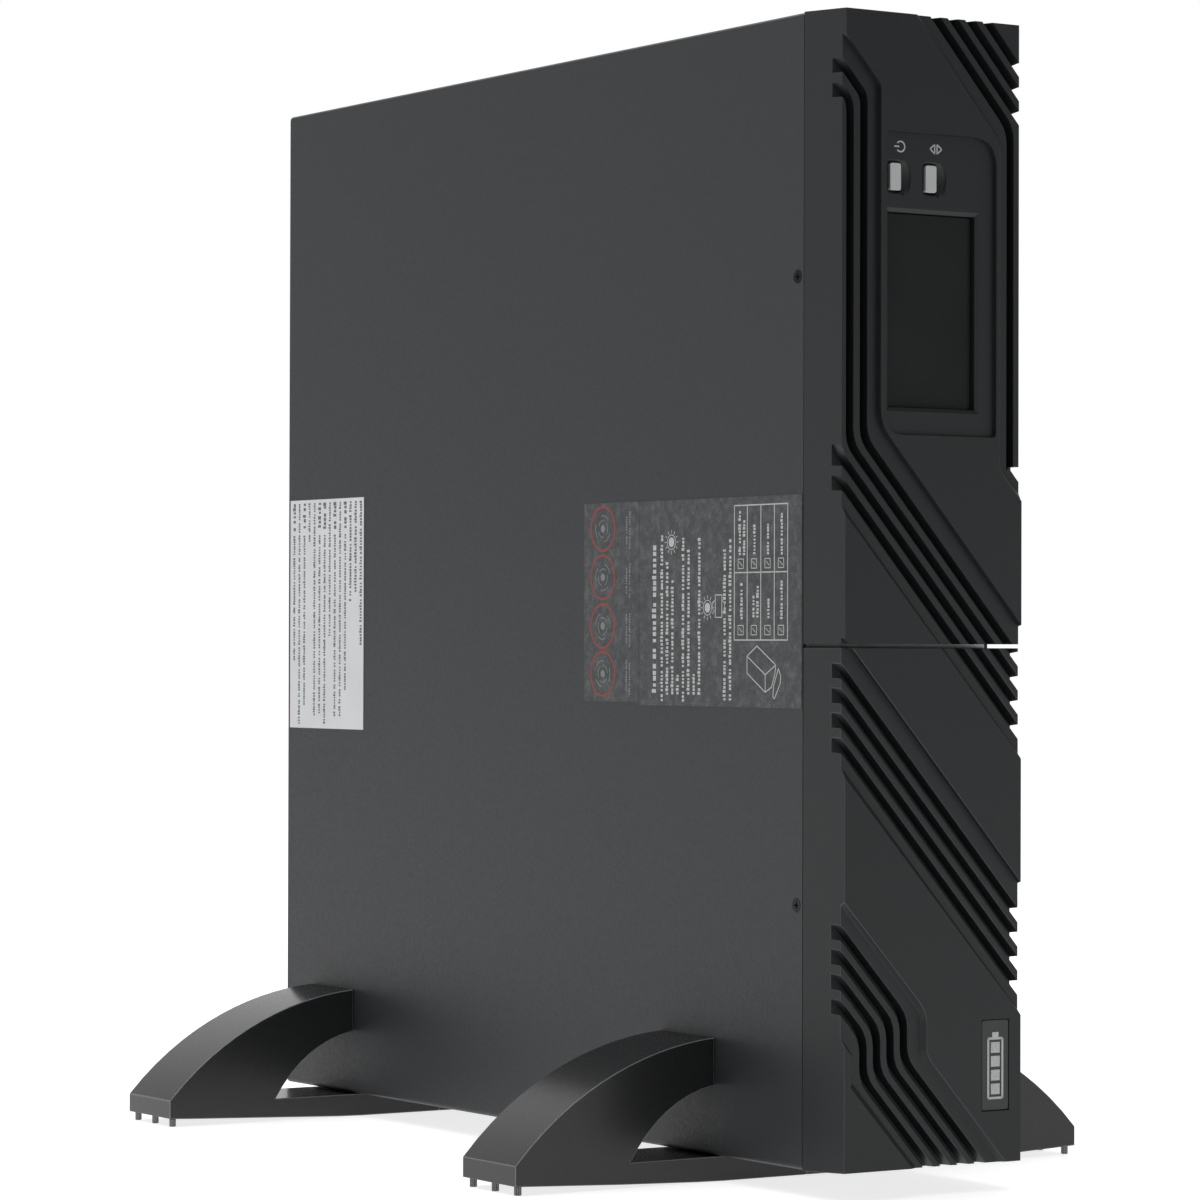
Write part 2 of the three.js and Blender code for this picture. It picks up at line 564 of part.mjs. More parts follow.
function rearFittings() {
  let number = 0;
  OUTLET_Z.forEach((z) =>
    OUTLET_X.forEach((x) => {
      number += 1;
      piece(`outlet_${number}`, SOCKET_BLACK, outlet(), [x, 0, z]);
    }),
  );
  piece("ac_inlet", SOCKET_BLACK, acInlet(), [INLET.x, 0, INLET.z]);

  const tongue = [[-1.6, 1.6], [REAR - 12, REAR - 2], [-2.8, 2.8]];
  piece("usb_port", ZINC, portShell([12, 11.2], [8, 8.4], 14, tongue), [USB.x, 0, USB.z]);
  NETWORK_Z.forEach((z, i) => {
    const keyway = box([-6.6, -4], [REAR - 11, REAR + 5], [-3, 3]);
    const port = cut(portShell([16, 14], [9, 11.8], 16), keyway);
    piece(`network_port_${i + 1}`, SOCKET_BLACK, port, [20, 0, z]);
  });

  const cover = slabY(
    rounded(rectangle(SLOT_X, SLOT_Z).map(([x, z]) => [x, z, 1.5]), true, 2), [REAR + 0.02, REAR + 1.2],
  );
  const middle = (SLOT_X[0] + SLOT_X[1]) / 2;
  const heads = [SLOT_Z[0] + 4.5, SLOT_Z[1] - 4.5].map((z) =>
    moved(rod(2.6, [REAR + 1.1, REAR + 2.4], "y", 14), middle, 0, z),
  );
  piece("expansion_slot_cover", PAINTED_STEEL, join(cover, ...heads));

  // The nut and washer of the stud bear on the panel.
  const stud = turned([
    [0, -12], [2.5, -12], [2.5, 0.05], [4.5, 0.05], [4.5, 1.4], [2.5, 1.4], [2.5, 2.7], [0, 2.7],
  ], 14);
  piece("ground_stud", ZINC, stud, [GROUND.x, REAR, GROUND.z]);

  const breaker = turned([
    [3.9, -24], [8.5, -24], [8.5, -1.6], [6.2, -1.6], [6.2, 0.05], [8, 0.05], [8, 1.6], [3.9, 1.6],
    [3.9, -24],
  ], 20);
  piece("breaker_body", SOCKET_BLACK, breaker, [BREAKER.x, REAR, BREAKER.z]);
  const button = turned([
    [0, -22], [3, -22], [3, -1], [3.5, -1], [3.5, 2.4], [2.9, 2.75], [0, 2.75],
  ], 16);
  piece("breaker_button", LIGHT_PLASTIC, button, [BREAKER.x, REAR, BREAKER.z]);
}

// ---------------------------------------------------------------- fan
const FAN_FRONT = REAR - SHEET - FIT - FAN_DEPTH;

function fan() {
  const half = FAN_SIZE / 2;
  const outline = rounded(rectangle([-half, half], [-half, half]).map(([x, z]) => [x, z, 4]), true, 2);
  const shell = slabY(outline, [FAN_FRONT, FAN_FRONT + FAN_DEPTH]);
  const bore = rod(37.5, [FAN_FRONT - 5, REAR + 5], "y", 32);
  const hub = rod(15, [FAN_FRONT, FAN_FRONT + 3], "y", 20);
  const struts = [0, 1, 2, 3].map((i) =>
    box([13, 38.5], [FAN_FRONT, FAN_FRONT + 3], [-1.6, 1.6]).rotateY(Math.PI / 4 + (i * Math.PI) / 2),
  );
  const spindle = rod(1.5, [FAN_FRONT + 1, FAN_FRONT + 14], "y", 10);
  piece("fan_frame", SOCKET_BLACK, join(cut(shell, bore), hub, ...struts, spindle), [0, 0, FAN_Z]);

  const rotorHub = cut(
    rod(16, [FAN_FRONT + 4.2, FAN_FRONT + 22.5], "y", 24),
    rod(2, [FAN_FRONT, FAN_FRONT + 16], "y", 12),
  );
  const blades = [];
  for (let i = 0; i < 7; i++) {
    const blade = box([14.8, 35.6], [-0.8, 0.8], [-11, 11]);
    blade.rotateX(0.62).translate(0, FAN_FRONT + 13.4, 0).rotateY((i * 2 * Math.PI) / 7);
    blades.push(blade);
  }
  piece("fan_rotor", SOCKET_BLACK, join(rotorHub, ...blades), [0, 0, FAN_Z]);

  const wire = 0.75;
  const ringAt = (radius) => {
    const [inner, outer] = [radius - wire, radius + wire];
    const square = [[inner, -wire], [outer, -wire], [outer, wire], [inner, wire], [inner, -wire]];
    return moved(turned(square, 28), 0, GUARD_BACK - wire, 0);
  };
  const rings = [9, 17, 25, 33].map(ringAt);
  const eyes = [];
  for (let i = 0; i < 4; i++) {
    const arm = box([8.4, 49], [GUARD_BACK - 2.3, GUARD_BACK - 1], [-wire, wire]);
    const eye = rod(3.4, [REAR + 0.05, GUARD_BACK - 0.6], "y", 12).translate(Math.SQRT2 * FAN_SCREW, 0, 0);
    [arm, eye].forEach((part) => eyes.push(part.rotateY(Math.PI / 4 + (i * Math.PI) / 2)));
  }
  piece("fan_guard", ZINC, join(rings[0], ...rings.slice(1), ...eyes), [0, 0, FAN_Z]);
}

// ---------------------------------------------------------------- electronics
function transformer() {
  const [y0, y1, z0, z1] = [262, 352, 206, 306];
  const core = cut(
    box([-24, 24], [y0, y1], [z0, z1]),
    box([-30, 30], [y0 + 14, y0 + 31], [z0 + 16, z1 - 16]),
    box([-30, 30], [y1 - 31, y1 - 14], [z0 + 16, z1 - 16]),
  );
  piece("transformer_core", LAMINATION, core);
  // The coil fits round the core's middle limb.
  const around = (grow, past = 0) =>
    box([-24 - grow, 24 + grow], [y0 + 31 - grow, y1 - 31 + grow], [z0 + 17 - past, z1 - 17 + past]);
  piece("transformer_coil", COPPER, cut(around(12.5), around(0.4, 10)));
  const strap = cut(
    box([-26, 27], [y0 + 3, y0 + 11], [198.2, z1 + 2]),
    box([-24.4, 24.4], [y0 - 5, y1], [z0 - 0.3, z1 + 0.4]),
  );
  const feet = [[-40, -24], [24, 38]].map((x) => box(x, [y0 + 3, y0 + 11], [198.2, 199.8]));
  piece("transformer_bracket", ZINC, join(strap, ...feet));
}

function mainBoard() {
  const boardX = 33;
  const board = box([boardX, boardX + 1.6], [24, 250], [212, 428]);
  const posts = [34, 238].flatMap((y) =>
    [222, 418].map((z) => moved(rod(3, [boardX + 1.5, HALF - SHEET - 0.3], "x", 8), 0, y, z)),
  );
  piece("main_board", CIRCUIT_GREEN, join(board, ...posts));
  const top = boardX - 0.3;

  const sink = (i) => {
    const base = box([-34, 0], [0, 4], [0, 80]);
    const fins = [0, 1, 2, 3, 4].map((k) => box([-34 + k * 7.5, -32 + k * 7.5], [3.5, 24], [0, 80]));
    piece(`heat_sink_${i + 1}`, ALUMINIUM, join(base, ...fins), [top, 150 + i * 50, 330]);
  };
  [0, 1].forEach(sink);
  [0, 1, 2].forEach((i) => {
    const can = rod(12.5, [-42, 0], "x", 20);
    piece(`capacitor_${i + 1}`, SLEEVE_BLUE, can, [top, 60 + i * 28, 400]);
  });
  [0, 1].forEach((i) => {
    const relay = box([-22, 0], [0, 28], [0, 14]);
    piece(`relay_${i + 1}`, SOCKET_BLACK, relay, [top, 50 + i * 40, 250]);
  });
}

// ---------------------------------------------------------------- battery pack
const BATTERY = { x: 65, y: 94, z: 151 };

function batteryPack() {
  const outer = box([-TRAY_HALF, TRAY_HALF], [0.1, TRAY_LENGTH], [2.6, BAY_TOP - 1.4]);
  const inner = box([-60, TRAY_HALF - 1], [1.2, TRAY_LENGTH - 1.2], [3.8, BAY_TOP - 2.6]);
  const flange = box([-40, 40], [-1.2, 0.2], [6, BAY_TOP - 0.9]);
  const plugHole = box([-18, 18], [300, 330], [163, 187]);
  const window = box([-26, 26], [-5, 5], [160, 186]);
  piece("battery_tray", ZINC, cut(join(cut(outer, inner), flange), plugHole, window));

  const grip = cut(
    box([-32, 32], [-12, -1.3], [88, 112]),
    box([-26, 26], [-8.6, 5], [80, 120]),
  );
  piece("tray_handle", BLACK_PLASTIC, grip);

  for (let i = 0; i < 3; i++) {
    const body = box([0, BATTERY.x], [0, BATTERY.y], [0, BATTERY.z]);
    const blades = [20, BATTERY.z - 20].map((z) =>
      box([BATTERY.x / 2 - 3, BATTERY.x / 2 + 3], [BATTERY.y - 1, BATTERY.y + 5.5], [z - 0.4, z + 0.4]),
    );
    const y = 2 + i * (BATTERY.y + 8);
    piece(`battery_${i + 1}`, BATTERY_GREY, join(body, ...blades), [-30, y, 5]);
  }

  const cable = new THREE.CatmullRomCurve3(
    [[2, 100, 170], [-6, 140, 174], [6, 200, 172], [-4, 250, 176], [0, 287, 175]].map(
      (p) => new THREE.Vector3(...p),
    ),
  );
  const round = new THREE.Shape().absarc(0, 0, 3.5, 0, 2 * Math.PI);
  const harness = new THREE.ExtrudeGeometry(round, { steps: 24, curveSegments: 5, extrudePath: cable });
  piece("battery_harness", CABLE_RED, harness);
  piece("battery_plug", SOCKET_BLACK, box([-16, 16], [288, 318], [165, 185]));
  const socket = cut(
    box([-19, 19], [319, 345], [162, 188]),
    box([-16.6, 16.6], [300, 330], [164.4, 185.6]),
  );
  const tail = box([-19, 19], [340, 345], [160, BAY_TOP + 1.2]);
  piece("battery_socket", SOCKET_BLACK, join(socket, tail));
}

// ---------------------------------------------------------------- feet
const ARCH = { x: -34, z: -89.7, outer: 136 }; // centre and radius of a foot's outer curve
const HOLLOW_END = -83; // outer end of the gap between the arch and the case
const ARCH_TOP_INNER = 27.4; // height where the arch's inner curve meets the case
const FLAT_SOLE = 40; // the sole is flat under the case, out to here
const SOLE_RISE = 3.6; // and rises this much to the outer end, which stands on three pegs

function footOutline() {
  const meets = -HALF - FIT;
  const outer = [];
  const steps = 14;
  for (let i = 0; i <= steps; i++) {
    const x = -STAND_REACH + ((meets + STAND_REACH) * i) / steps;
    outer.push([x, ARCH.z + Math.sqrt(ARCH.outer ** 2 - (x - ARCH.x) ** 2)]);
  }
  const inner = new THREE.QuadraticBezierCurve(
    new THREE.Vector2(meets, ARCH_TOP_INNER),
    new THREE.Vector2(-69, 23),
    new THREE.Vector2(HOLLOW_END, -FIT),
  ).getPoints(8).map((p) => [p.x, p.y]);
  const middle = -FIT / 2;
  const under = [[middle, -FLOOR_GAP]];
  for (let i = 0; i <= 8; i++) {
    const along = i / 8;
    const x = -FLAT_SOLE - (STAND_REACH - FLAT_SOLE) * along;
    under.push([x, -FLOOR_GAP + SOLE_RISE * along ** 1.3]);
  }
  return [...outer, ...inner, [middle, -FIT], ...under];
}

function feet() {
  const names = ["front", "rear"];
  STAND_FRONTS.forEach((front, pair) => {
    SIDES.forEach((side) => {
      const outline = footOutline();
      const arch = slabY(outline.reverse(), [0, STAND_LENGTH]);
      const pegs = [3.1, STAND_LENGTH / 2, STAND_LENGTH - 3.1].map((y) =>
        moved(rod(1.5, [-FLOOR_GAP, -5.5], "z", 10), -STAND_REACH + 3, y, 0),
      );
      const foot = join(arch, ...pegs);
      if (side > 0) foot.rotateZ(Math.PI).translate(0, STAND_LENGTH, 0);
      const name = `${names[pair]}_foot_${side < 0 ? "left" : "right"}`;
      piece(name, FOOT_PLASTIC, foot, [0, front, 0]);
    });
  });
}

// ---------------------------------------------------------------- assembly
topCover();
chassisTray();
frontWall();
bayDivider();
coverScrews();
labels();
upperBezel();
lowerBezel();
controlPanel();
rearPanel();
rearFittings();
fan();
transformer();
mainBoard();
batteryPack();
feet();

const cabinet = new THREE.Group();
cabinet.position.set(0, -(PROUD_LEVEL + GUARD_BACK) / 2, FLOOR_GAP);
cabinet.add(...meshes);

const ups = new THREE.Group();
ups.add(cabinet);
export default ups;
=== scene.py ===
"""Looks for the rack/tower uninterruptible power supply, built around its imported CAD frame."""
import json
import math
import random

import bmesh
import bpy
from mathutils import Matrix, Vector


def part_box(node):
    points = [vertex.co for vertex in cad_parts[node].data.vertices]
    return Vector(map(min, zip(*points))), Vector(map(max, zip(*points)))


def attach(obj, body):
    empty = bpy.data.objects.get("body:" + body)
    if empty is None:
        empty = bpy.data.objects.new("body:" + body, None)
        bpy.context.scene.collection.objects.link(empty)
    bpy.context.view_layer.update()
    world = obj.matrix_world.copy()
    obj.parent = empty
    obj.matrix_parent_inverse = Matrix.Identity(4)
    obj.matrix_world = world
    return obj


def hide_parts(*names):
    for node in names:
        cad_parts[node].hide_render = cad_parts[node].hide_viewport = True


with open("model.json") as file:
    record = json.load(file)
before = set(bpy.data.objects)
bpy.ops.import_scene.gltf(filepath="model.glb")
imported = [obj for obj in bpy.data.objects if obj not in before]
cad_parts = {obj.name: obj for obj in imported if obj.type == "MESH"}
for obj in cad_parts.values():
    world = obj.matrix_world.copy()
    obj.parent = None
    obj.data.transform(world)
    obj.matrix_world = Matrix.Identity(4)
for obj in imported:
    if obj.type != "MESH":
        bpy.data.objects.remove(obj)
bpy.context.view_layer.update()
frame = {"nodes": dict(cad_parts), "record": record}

MM = 0.001
NODES = frame["nodes"]
SLOT_OF = {row["node"]: row["material_slot"] for row in frame["record"]["subparts"]}
BODY_OF = {node: body for body, nodes in frame["record"]["behaviour"]["bodies"].items() for node in nodes}

# Datum of the cabinet: the middle of its underside, in the plane where the front mouldings meet the case.
CASE_LOW = Vector(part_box("top_cover")[0])
BEZEL_LOW, BEZEL_HIGH = (Vector(corner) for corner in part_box("upper_bezel"))
DATUM = Vector((0, BEZEL_HIGH.y, CASE_LOW.z))


def at(x, y, z):
    """A point given in millimetres from the cabinet's datum."""
    return DATUM + Vector((x, y, z)) * MM


# ---------------------------------------------------------------- camera, lights and floor
CAMERA_PLACE = at(-1017.08, -1363.49, 197.4)
CAMERA_YAW = math.radians(32.885)
CAMERA_PITCH_UP = math.radians(0.61)
CAMERA_ROLL = math.radians(0.151)
CAMERA_LENS = 132.9  # millimetres

# Places and sides in metres, powers in watts.
LIGHT_TARGET = (0, 0, 0.2)
OVERHEAD = {"place": (-0.4, 0.3, 2.6), "side": 3.2, "power": 62}
LEFT_BOX = {"place": (-2.6, 0.9, 0.9), "side": 1.4, "power": 4}
ROOM_FRONT, ROOM_SIDES, ROOM_BACKDROP = 0.11, 0.27, 1.0
FLOOR_RADIUS = 30
FLOOR_GLOW = 0.78


def make_camera():
    data = bpy.data.cameras.new("camera")
    data.lens = CAMERA_LENS
    data.clip_end = 100
    camera = bpy.data.objects.new("camera", data)
    bpy.context.scene.collection.objects.link(camera)
    flat = Vector((math.sin(CAMERA_YAW), math.cos(CAMERA_YAW), 0))
    forward = flat * math.cos(CAMERA_PITCH_UP) + Vector((0, 0, math.sin(CAMERA_PITCH_UP)))
    right = forward.cross(Vector((0, 0, 1))).normalized()
    up = right.cross(forward)
    turned_right = right * math.cos(CAMERA_ROLL) + up * math.sin(CAMERA_ROLL)
    turned_up = up * math.cos(CAMERA_ROLL) - right * math.sin(CAMERA_ROLL)
    columns = Matrix((turned_right, turned_up, -forward)).transposed()
    camera.matrix_world = Matrix.Translation(CAMERA_PLACE) @ columns.to_4x4()
    bpy.context.scene.camera = camera


def area_light(name, place, side, power):
    """A square light turned to the middle of the object."""
    data = bpy.data.lights.new(name, "AREA")
    data.shape = "RECTANGLE"
    data.size = data.size_y = side
    data.energy = power
    light = bpy.data.objects.new(name, data)
    bpy.context.scene.collection.objects.link(light)
    light.location = place
    light.rotation_euler = (Vector(LIGHT_TARGET) - Vector(place)).to_track_quat("-Z", "Y").to_euler()


def make_world():
    """A bright backdrop behind the object and a dimmer room around it; the camera sees plain white."""
    world = bpy.data.worlds.new("studio")
    bpy.context.scene.world = world
    world.use_nodes = True
    nodes, links = world.node_tree.nodes, world.node_tree.links
    coords = nodes.new("ShaderNodeTexCoord")
    towards = nodes.new("ShaderNodeVectorMath")
    towards.operation = "DOT_PRODUCT"
    towards.inputs[1].default_value = (math.sin(CAMERA_YAW), math.cos(CAMERA_YAW), 0)
    links.new(coords.outputs["Generated"], towards.inputs[0])
    spread = nodes.new("ShaderNodeMapRange")
    spread.inputs["From Min"].default_value = -1
    links.new(towards.outputs["Value"], spread.inputs["Value"])
    room = nodes.new("ShaderNodeValToRGB")
    stops = room.color_ramp.elements
    stops[0].position, stops[0].color = 0.25, colour(ROOM_FRONT)
    stops[1].position, stops[1].color = 0.9, colour(ROOM_BACKDROP)
    stops.new(0.7).color = colour(ROOM_SIDES)
    links.new(spread.outputs["Result"], room.inputs["Fac"])
    path = nodes.new("ShaderNodeLightPath")
    seen = nodes.new("ShaderNodeMix")
    seen.data_type = "RGBA"
    seen.inputs[7].default_value = (1, 1, 1, 1)
    links.new(path.outputs["Is Camera Ray"], seen.inputs[0])
    links.new(room.outputs["Color"], seen.inputs[6])
    links.new(seen.outputs[2], nodes["Background"].inputs["Color"])


def make_studio():
    bpy.context.scene.view_settings.view_transform = "Standard"
    make_world()
    area_light("overhead", **OVERHEAD)
    area_light("left_box", **LEFT_BOX)
    floor = build_mesh("floor", *disc(FLOOR_RADIUS, 64), [floor_material()])


def disc(radius, sides):
    """Points and the single face of a flat disc."""
    ring = [(radius * math.cos(a), radius * math.sin(a), 0) for a in steps_round(sides)]
    return ring, [tuple(range(sides))]


def steps_round(count, start=0.0):
    """Evenly spaced angles round a circle."""
    return [start + 2 * math.pi * i / count for i in range(count)]


# ---------------------------------------------------------------- node-tree helpers
class Tree:
    """Short names for building a material's nodes."""

    def __init__(self, name):
        self.material = bpy.data.materials.new(name)
        self.material.use_nodes = True
        self.nodes = self.material.node_tree.nodes
        self.links = self.material.node_tree.links
        self.shader = self.nodes["Principled BSDF"]
        self.coords = self.nodes.new("ShaderNodeTexCoord").outputs["Object"]

    def noise(self, per_metre, detail=2.0, roughness=0.5):
        """Noise with about per_metre cells to the metre."""
        node = self.nodes.new("ShaderNodeTexNoise")
        node.inputs["Scale"].default_value = per_metre
        node.inputs["Detail"].default_value = detail
        node.inputs["Roughness"].default_value = roughness
        self.links.new(self.coords, node.inputs["Vector"])
        return node.outputs["Fac"]

    def ramp(self, source, stops):
        """A colour from the source through (position, colour) stops."""
        node = self.nodes.new("ShaderNodeValToRGB")
        elements = node.color_ramp.elements
        elements[0].position, elements[0].color = stops[0][0], colour(stops[0][1])
        elements[1].position, elements[1].color = stops[-1][0], colour(stops[-1][1])
        for place, value in stops[1:-1]:
            elements.new(place).color = colour(value)
        self.links.new(source, node.inputs["Fac"])
        return node.outputs["Color"]

    def spread(self, source, low, high, start=0.3, end=0.7):
        """The source's range start to end, stretched to low to high."""
        node = self.nodes.new("ShaderNodeMapRange")
        for key, value in zip(("From Min", "From Max", "To Min", "To Max"), (start, end, low, high)):
            node.inputs[key].default_value = value
        self.links.new(source, node.inputs["Value"])
        return node.outputs["Result"]

    def mix(self, factor, first, second, blend="MIX"):
        node = self.nodes.new("ShaderNodeMix")
        node.data_type = "RGBA"
        node.blend_type = blend
        for socket, value in ((node.inputs[0], factor), (node.inputs[6], first), (node.inputs[7], second)):
            self.feed(socket, value)
        return node.outputs[2]

    def feed(self, socket, value):
        """Links another node's output, or sets a plain value."""
        if isinstance(value, bpy.types.NodeSocket):
            self.links.new(value, socket)
        else:
            socket.default_value = value

    def bump(self, height, distance_mm):
        node = self.nodes.new("ShaderNodeBump")
        node.inputs["Strength"].default_value = 1.0
        node.inputs["Distance"].default_value = distance_mm * MM
        self.links.new(height, node.inputs["Height"])
        return node.outputs["Normal"]

    def painted_highlight_mask(self, side):
        """Mask of a painted highlight: one on rounded edges turned to the given side, nothing elsewhere."""
        geometry = self.nodes.new("ShaderNodeNewGeometry")
        facing = self.nodes.new("ShaderNodeVectorMath")
        facing.operation = "DOT_PRODUCT"
        facing.inputs[1].default_value = side
        self.links.new(geometry.outputs["Normal"], facing.inputs[0])
        rim = self.nodes.new("ShaderNodeAttribute")
        rim.attribute_name = "rim"
        amount = self.nodes.new("ShaderNodeMath")
        amount.operation = "MULTIPLY"
        self.links.new(rim.outputs["Fac"], amount.inputs[0])
        self.links.new(self.spread(facing.outputs["Value"], 0, 1, 0.1, 0.5), amount.inputs[1])
        return amount.outputs[0]

    def painted_hollow_shade(self, body):
        """Painted shade: darkens a colour inside grooves and under steps, where occlusion is found."""
        node = self.nodes.new("ShaderNodeAmbientOcclusion")
        node.samples = 6
        node.inputs["Distance"].default_value = HOLLOW_REACH * MM
        shadow = self.ramp(node.outputs["AO"], [(0.25, HOLLOW_SHADE), (0.85, 1.0)])
        return self.mix(1.0, body, shadow, blend="MULTIPLY")

    def finish(self, base, roughness, normal=None, metallic=0.0, specular=0.5):
        self.feed(self.shader.inputs["Base Color"], base)
        self.feed(self.shader.inputs["Roughness"], roughness)
        self.shader.inputs["Metallic"].default_value = metallic
        self.shader.inputs["Specular IOR Level"].default_value = specular
        if normal is not None:
            self.links.new(normal, self.shader.inputs["Normal"])
        return self.material


def colour(value):
    """A grey level or a red, green, blue triple as an opaque colour."""
    if isinstance(value, (int, float)):
        value = (value, value, value)
    return (*value[:3], 1)


def shade(base, factor):
    return tuple(channel * factor for channel in base)


# ---------------------------------------------------------------- materials
# Rounded edges turned these ways get a painted highlight: paler colour in place of the light they catch.
HIGHLIGHT_SIDE = (-0.8, 0, -0.6)
FOOT_HIGHLIGHT_SIDE = (-0.3, -0.6, 0.6)
# Painted shade in grooves and under steps: how far the occlusion test reaches, and the darkest shade.
HOLLOW_REACH = 4  # millimetres
HOLLOW_SHADE = 0.35


def painted(name, base, grain=900, grain_depth=0.05, rough=(0.42, 0.55), highlight_gain=1.5):
    """Sprayed or powder-coated surface: fine orange peel, slow tone drift, and a painted highlight of paler
    colour on rounded edges turned to the light.
    """
    tree = Tree(name)
    drift = tree.noise(5, 1)
    body = tree.ramp(drift, [(0.35, shade(base, 0.97)), (0.65, shade(base, 1.03))])
    speck = tree.noise(grain * 2.4, 2, 0.6)
    body = tree.mix(tree.spread(speck, 0, 0.35, 0.55, 0.8), body, colour(shade(base, 1.5)))
    # Painted highlight: paler colour on rounded edges turned to the light.
    body = tree.mix(tree.painted_highlight_mask(HIGHLIGHT_SIDE), body, colour(shade(base, highlight_gain)))
    peel = tree.bump(tree.noise(grain, 3, 0.6), grain_depth)
    roughness = tree.spread(tree.noise(grain, 2), rough[0], rough[1])
    return tree.finish(body, roughness, peel)


def moulded(name, base, texture=2600, depth=0.03, rough=(0.45, 0.58), highlight_gain=1.35, highlight_side=HIGHLIGHT_SIDE):
    """Spark-textured plastic moulding."""
    tree = Tree(name)
    drift = tree.noise(8, 1)
    body = tree.ramp(drift, [(0.35, shade(base, 0.96)), (0.65, shade(base, 1.04))])
    # Painted shade darkens the hollows; a painted highlight pales rounded edges turned to the light.
    body = tree.mix(tree.painted_highlight_mask(highlight_side), tree.painted_hollow_shade(body), colour(shade(base, highlight_gain)))
    grain = tree.bump(tree.noise(texture, 2, 0.7), depth)
    roughness = tree.spread(tree.noise(texture, 2), rough[0], rough[1])
    return tree.finish(body, roughness, grain)


def plated(name, base, rough=(0.28, 0.45), direction=(1, 1, 14)):
    """Bare or plated metal with a rolled grain along one direction."""
    tree = Tree(name)
    mapping = tree.nodes.new("ShaderNodeMapping")
    mapping.inputs["Scale"].default_value = direction
    tree.links.new(tree.coords, mapping.inputs["Vector"])
    tree.coords = mapping.outputs["Vector"]
    grain = tree.noise(400, 3, 0.6)
    body = tree.ramp(tree.noise(20, 4), [(0.3, shade(base, 0.85)), (0.7, shade(base, 1.1))])
    return tree.finish(body, tree.spread(grain, *rough), tree.bump(grain, 0.01), metallic=1.0)


def smoked_glass():
    """Dark tinted window with a faint cloudiness."""
    tree = Tree("smoked_window")
    body = tree.ramp(tree.noise(30, 2), [(0.3, (0.0165, 0.0175, 0.018)), (0.7, (0.0185, 0.0195, 0.020))])
    roughness = tree.spread(tree.noise(60, 3), 0.10, 0.16)
    return tree.finish(body, roughness, specular=0.35)


def mottled_film():
    """Dark speckled label film: pale grains over a cloudy grey."""
    tree = Tree("foil_label")
    clouds = tree.noise(260, 4, 0.7)
    grains = tree.noise(1500, 2, 0.8)
    tones = [(0.38, (0.031, 0.033, 0.035)), (0.5, (0.042, 0.045, 0.047)), (0.66, (0.085, 0.088, 0.092))]
    body = tree.ramp(clouds, tones)
    body = tree.mix(tree.spread(grains, 0, 0.55, 0.5, 0.72), body, colour((0.15, 0.152, 0.156)))
    return tree.finish(body, tree.spread(grains, 0.5, 0.7), tree.bump(grains, 0.01))


def paper(name, base):
    """Matt label paper with a fine fibre."""
    tree = Tree(name)
    fibre = tree.noise(1500, 4, 0.7)
    body = tree.ramp(tree.noise(60, 3), [(0.3, shade(base, 0.96)), (0.7, shade(base, 1.03))])
    return tree.finish(body, tree.spread(fibre, 0.55, 0.7), tree.bump(fibre, 0.008))


def ink(name, base):
    """Printed ink of slightly uneven density."""
    tree = Tree(name)
    body = tree.ramp(tree.noise(1200, 3), [(0.3, shade(base, 0.85)), (0.7, shade(base, 1.1))])
    return tree.finish(body, tree.spread(tree.noise(700, 2), 0.5, 0.7))


def laminated():
    """Stacked transformer plates: fine dark lines across the stack."""
    tree = Tree("core_steel")
    wave = tree.nodes.new("ShaderNodeTexWave")
    wave.bands_direction = "X"
    wave.inputs["Scale"].default_value = 320
    wave.inputs["Distortion"].default_value = 0.4
    tree.links.new(tree.coords, wave.inputs["Vector"])
    body = tree.ramp(wave.outputs["Fac"], [(0.1, 0.05), (0.6, 0.17)])
    return tree.finish(body, tree.spread(tree.noise(90, 3), 0.35, 0.55), metallic=0.8)


def wound():
    """Enamelled copper turns."""
    tree = Tree("copper_winding")
    wave = tree.nodes.new("ShaderNodeTexWave")
    wave.bands_direction = "Z"
    wave.inputs["Scale"].default_value = 260
    tree.links.new(tree.coords, wave.inputs["Vector"])
    turns = wave.outputs["Fac"]
    body = tree.ramp(turns, [(0.0, (0.16, 0.05, 0.02)), (1.0, (0.55, 0.20, 0.09))])
    return tree.finish(body, tree.spread(tree.noise(90, 3), 0.25, 0.4), tree.bump(turns, 0.2), metallic=0.7)


def circuit_board():
    """Green solder mask over a grid of tracks."""
    tree = Tree("circuit_board")
    brick = tree.nodes.new("ShaderNodeTexBrick")
    brick.inputs["Scale"].default_value = 120
    brick.inputs["Mortar Size"].default_value = 0.03
    brick.inputs["Color1"].default_value = colour((0.015, 0.09, 0.045))
    brick.inputs["Color2"].default_value = colour((0.02, 0.11, 0.055))
    brick.inputs["Mortar"].default_value = colour((0.05, 0.2, 0.1))
    tree.links.new(tree.coords, brick.inputs["Vector"])
    return tree.finish(brick.outputs["Color"], tree.spread(tree.noise(300, 2), 0.25, 0.4))


def floor_material():
    """White light-table surface."""
    tree = Tree("floor")
    body = tree.ramp(tree.noise(0.8, 2), [(0.3, 0.54), (0.7, 0.56)])
    tree.shader.inputs["Emission Color"].default_value = colour(1)
    tree.shader.inputs["Emission Strength"].default_value = FLOOR_GLOW
    return tree.finish(body, tree.spread(tree.noise(5, 2), 0.6, 0.7), specular=0.2)


